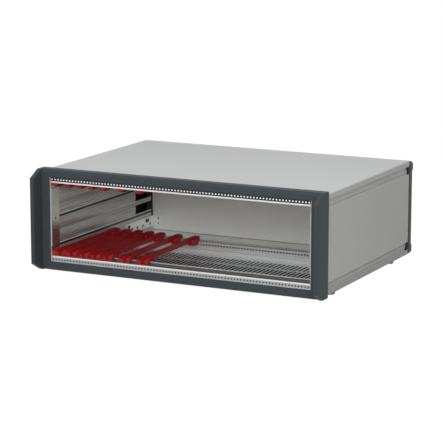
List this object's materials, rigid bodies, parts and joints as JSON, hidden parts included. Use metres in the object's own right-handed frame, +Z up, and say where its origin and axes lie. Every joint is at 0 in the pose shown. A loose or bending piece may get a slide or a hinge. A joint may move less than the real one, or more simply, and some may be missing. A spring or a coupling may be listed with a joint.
{
  "type": "rack mount case",
  "caption": "Desktop case for plug-in boards: fluted card cage with clip-in guides and screw strips, folded covers, side panels and a protruding front bezel.",
  "frame": {"origin": "middle of the bounding box's base, at the level that the feet stand on", "axes": "+Z up, the open front faces -Y, +X to the right seen from the front"},
  "size_m": [0.47, 0.3746, 0.1567],
  "materials": {
    "anthracite_paint": "satin",
    "rear_paint": "satin",
    "cover_paint": "satin",
    "side_paint": "satin",
    "profile_finish": "anodised",
    "bare_aluminium": "brushed",
    "rail_aluminium": "satin",
    "zinc_steel": "satin",
    "red_plastic": "satin",
    "black_plastic": "matte",
    "black_rubber": "matte"
  },
  "bodies": {
    "root": {"base_plate": "side_paint", "bracket_rivets": "zinc_steel", "foot_screws": "zinc_steel", "front_bezel": "anthracite_paint", "front_left_foot": "black_rubber", "front_right_foot": "black_rubber", "left_rear_bracket": "bare_aluminium", "left_side_panel": "side_paint", "left_side_plate": "bare_aluminium", "lower_front_rail": "rail_aluminium", "lower_guide_1": "red_plastic", "lower_guide_2": "red_plastic", "lower_guide_3": "red_plastic", "lower_guide_4": "red_plastic", "lower_guide_5": "red_plastic", "lower_guide_6": "red_plastic", "lower_guide_7": "red_plastic", "lower_left_end_clip": "black_plastic", "lower_left_profile": "profile_finish", "lower_left_rear_pad": "black_plastic", "lower_rear_rail": "rail_aluminium", "lower_right_end_clip": "black_plastic", "lower_right_profile": "profile_finish", "lower_right_rear_pad": "black_plastic", "lower_threaded_strip": "zinc_steel", "plate_screws": "zinc_steel", "rail_screws": "zinc_steel", "rear_frame": "rear_paint", "rear_frame_screws": "zinc_steel", "rear_left_foot": "black_rubber", "rear_panel": "bare_aluminium", "rear_panel_screws": "zinc_steel", "rear_right_foot": "black_rubber", "right_rear_bracket": "bare_aluminium", "right_side_panel": "side_paint", "right_side_plate": "bare_aluminium", "top_cover": "cover_paint", "upper_front_rail": "rail_aluminium", "upper_guide_1": "red_plastic", "upper_guide_2": "red_plastic", "upper_guide_3": "red_plastic", "upper_guide_4": "red_plastic", "upper_guide_5": "red_plastic", "upper_guide_6": "red_plastic", "upper_guide_7": "red_plastic", "upper_left_end_clip": "black_plastic", "upper_left_profile": "profile_finish", "upper_left_rear_pad": "black_plastic", "upper_rear_rail": "rail_aluminium", "upper_right_end_clip": "black_plastic", "upper_right_profile": "profile_finish", "upper_right_rear_pad": "black_plastic", "upper_threaded_strip": "zinc_steel"}
  },
  "joints": []
}
